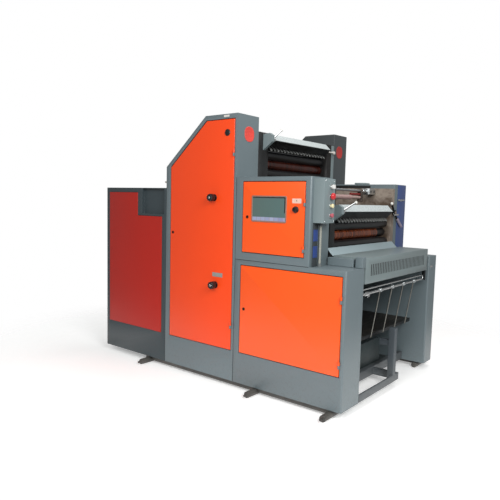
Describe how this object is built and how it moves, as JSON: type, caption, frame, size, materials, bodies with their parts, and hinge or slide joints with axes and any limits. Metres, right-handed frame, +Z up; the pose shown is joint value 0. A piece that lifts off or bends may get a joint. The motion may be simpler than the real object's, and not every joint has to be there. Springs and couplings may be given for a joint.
{
  "type": "offset printing press",
  "caption": "Sheet-fed offset printing press with sloped towers, orange doors, inking rollers, control cabinet and open pile delivery.",
  "frame": {"origin": "on the floor, at the middle of the overall length and width", "axes": "+X from the feeder to the delivery, +Y from the operator side to the far side, +Z up"},
  "size_m": [2.22, 1.67, 1.8499],
  "materials": {
    "orange_paint": "satin",
    "grey_paint": "satin",
    "light_grey_paint": "satin",
    "dark_grey_paint": "satin",
    "blue_grey_paint": "satin",
    "black_paint": "matte",
    "cast_frame": "machined, oily",
    "cast_frame_grey": "machined, oily",
    "dark_steel": "blackened",
    "bright_steel": "turned",
    "chrome": "polished",
    "black_rubber": "ground",
    "red_rubber": "ground",
    "copper_roller": "inked, glossy",
    "sleeve_rubber": "knurled",
    "black_plastic": "moulded",
    "red_plastic": "moulded",
    "cream_plastic": "moulded",
    "white_plastic": "moulded",
    "conduit_plastic": "moulded",
    "screen_glass": "smooth",
    "board_wood": "oiled plywood",
    "feed_wood": "oiled plywood",
    "feed_sheet": "brushed",
    "red_plate": "gloss"
  },
  "bodies": {
    "root": {"base_rails": "black_paint", "skid_bars": "black_paint", "base_beams": "grey_paint", "feeder_housing_near": "grey_paint", "feeder_housing_far": "grey_paint", "feeder_panel": "orange_paint", "far_panels": "orange_paint", "tower_housing_near": "grey_paint", "tower_housing_far": "dark_grey_paint", "control_housing_near": "grey_paint", "control_housing_far": "blue_grey_paint", "lower_housing_near": "grey_paint", "lower_housing_far": "grey_paint", "side_frame_near": "cast_frame_grey", "side_frame_far": "cast_frame", "tie_bars": "bright_steel", "bulkhead": "dark_grey_paint", "tower_cover": "grey_paint", "feed_board": "feed_sheet", "suction_head": "bright_steel", "feeder_pile_board": "feed_wood", "ink_duct_upper": "dark_steel", "ink_duct_lower": "dark_steel", "ink_keys_upper": "bright_steel", "ink_keys_lower": "bright_steel", "spray_rod": "chrome", "rubber_sleeve": "sleeve_rubber", "delivery_cover": "light_grey_paint", "delivery_guard": "light_grey_paint", "cover_blocks": "light_grey_paint", "delivery_bars": "chrome", "sheet_fingers": "chrome", "pile_frame": "grey_paint", "pile_guides": "chrome", "button_box": "light_grey_paint", "conduit": "conduit_plastic", "name_plates": "red_plate"},
    "tower_door": {"tower_door": "orange_paint"},
    "tower_knob_upper": {"tower_knob_upper": "black_plastic"},
    "tower_knob_lower": {"tower_knob_lower": "black_plastic"},
    "control_door": {"control_door": "orange_paint", "touch_screen": "screen_glass"},
    "speed_knob": {"speed_knob": "black_plastic"},
    "lower_door": {"lower_door": "orange_paint"},
    "duct_lever_upper": {"duct_lever_upper": "chrome"},
    "duct_lever_lower": {"duct_lever_lower": "chrome"},
    "throw_off_lever": {"throw_off_lever": "dark_steel"},
    "pile_board": {"pile_board": "board_wood"},
    "selector_switch": {"selector_switch": "white_plastic"},
    "stop_button": {"stop_button": "red_plastic"},
    "jog_button": {"jog_button": "cream_plastic"},
    "start_button": {"start_button": "red_plastic"},
    "plate_cylinder_lower": {"plate_cylinder_lower": "bright_steel"},
    "form_roller_lower": {"form_roller_lower": "black_rubber"},
    "ink_roller_lower": {"ink_roller_lower": "copper_roller"},
    "duct_roller_lower": {"duct_roller_lower": "black_rubber"},
    "plate_cylinder_upper": {"plate_cylinder_upper": "bright_steel"},
    "form_roller_upper": {"form_roller_upper": "black_rubber"},
    "ink_roller_upper": {"ink_roller_upper": "red_rubber"},
    "duct_roller_upper": {"duct_roller_upper": "black_rubber"}
  },
  "joints": [
    {"name": "tower_door_hinge", "type": "hinge", "parent": "root", "child": "tower_door", "pos_m": [0.2515, -0.743, 1], "axis": [0, 0, 1], "range_deg": [0, 100]},
    {"name": "control_door_hinge", "type": "hinge", "parent": "root", "child": "control_door", "pos_m": [0.8145, -0.743, 1.17], "axis": [0, 0, 1], "range_deg": [0, 100]},
    {"name": "lower_door_hinge", "type": "hinge", "parent": "root", "child": "lower_door", "pos_m": [1.0865, -0.743, 0.56], "axis": [0, 0, 1], "range_deg": [0, 100]},
    {"name": "tower_knob_upper_turn", "type": "hinge", "parent": "tower_door", "child": "tower_knob_upper", "pos_m": [0.08, -0.76, 1.295], "axis": [0, -1, 0], "continuous": true},
    {"name": "tower_knob_lower_turn", "type": "hinge", "parent": "tower_door", "child": "tower_knob_lower", "pos_m": [0.103, -0.76, 0.696], "axis": [0, -1, 0], "continuous": true},
    {"name": "speed_knob_turn", "type": "hinge", "parent": "control_door", "child": "speed_knob", "pos_m": [0.752, -0.755, 1.233], "axis": [0, -1, 0], "range_deg": [-135, 135]},
    {"name": "duct_lever_upper_turn", "type": "hinge", "parent": "root", "child": "duct_lever_upper", "pos_m": [0.334, -0.42, 1.704], "axis": [0, 1, 0], "range_deg": [-5, 45]},
    {"name": "duct_lever_lower_turn", "type": "hinge", "parent": "root", "child": "duct_lever_lower", "pos_m": [0.894, -0.42, 1.224], "axis": [0, 1, 0], "range_deg": [-41, 9]},
    {"name": "throw_off_lever_turn", "type": "hinge", "parent": "root", "child": "throw_off_lever", "pos_m": [0.845, 0.5, 1.215], "axis": [1, 0, 0], "range_deg": [-20, 20]},
    {"name": "pile_board_lift", "type": "slide", "parent": "root", "child": "pile_board", "axis": [0, 0, 1], "range_m": [0, 0.22]},
    {"name": "selector_turn", "type": "hinge", "parent": "root", "child": "selector_switch", "pos_m": [0.935, -0.635, 1.375], "axis": [1, 0, 0], "range_deg": [-45, 45]},
    {"name": "stop_button_press", "type": "slide", "parent": "root", "child": "stop_button", "axis": [-1, 0, 0], "range_m": [0, 0.004], "stiffness_N_per_m": 600},
    {"name": "jog_button_press", "type": "slide", "parent": "root", "child": "jog_button", "axis": [-1, 0, 0], "range_m": [0, 0.004], "stiffness_N_per_m": 600},
    {"name": "start_button_press", "type": "slide", "parent": "root", "child": "start_button", "axis": [-1, 0, 0], "range_m": [0, 0.004], "stiffness_N_per_m": 600},
    {"name": "plate_cylinder_lower_spin", "type": "hinge", "parent": "root", "child": "plate_cylinder_lower", "pos_m": [0.64275, 0, 0.99221], "axis": [0, 1, 0], "continuous": true},
    {"name": "form_roller_lower_spin", "type": "hinge", "parent": "root", "child": "form_roller_lower", "pos_m": [0.77675, 0, 0.99221], "axis": [0, 1, 0], "continuous": true},
    {"name": "ink_roller_lower_spin", "type": "hinge", "parent": "root", "child": "ink_roller_lower", "pos_m": [0.75512, 0, 1.06297], "axis": [0, 1, 0], "continuous": true},
    {"name": "duct_roller_lower_spin", "type": "hinge", "parent": "root", "child": "duct_roller_lower", "pos_m": [0.775, 0, 1.128], "axis": [0, 1, 0], "continuous": true},
    {"name": "plate_cylinder_upper_spin", "type": "hinge", "parent": "root", "child": "plate_cylinder_upper", "pos_m": [0.08275, 0, 1.4722], "axis": [0, 1, 0], "continuous": true},
    {"name": "form_roller_upper_spin", "type": "hinge", "parent": "root", "child": "form_roller_upper", "pos_m": [0.21675, 0, 1.4722], "axis": [0, 1, 0], "continuous": true},
    {"name": "ink_roller_upper_spin", "type": "hinge", "parent": "root", "child": "ink_roller_upper", "pos_m": [0.19512, 0, 1.54297], "axis": [0, 1, 0], "continuous": true},
    {"name": "duct_roller_upper_spin", "type": "hinge", "parent": "root", "child": "duct_roller_upper", "pos_m": [0.215, 0, 1.608], "axis": [0, 1, 0], "continuous": true}
  ],
  "couplings": [
    {"joint": "form_roller_lower_spin", "follows": "plate_cylinder_lower_spin", "ratio": -2.5},
    {"joint": "ink_roller_lower_spin", "follows": "plate_cylinder_lower_spin", "ratio": 2.7143},
    {"joint": "duct_roller_lower_spin", "follows": "plate_cylinder_lower_spin", "ratio": -2.9688},
    {"joint": "plate_cylinder_upper_spin", "follows": "plate_cylinder_lower_spin", "ratio": 1},
    {"joint": "form_roller_upper_spin", "follows": "plate_cylinder_lower_spin", "ratio": -2.5},
    {"joint": "ink_roller_upper_spin", "follows": "plate_cylinder_lower_spin", "ratio": 2.7143},
    {"joint": "duct_roller_upper_spin", "follows": "plate_cylinder_lower_spin", "ratio": -2.9688}
  ]
}
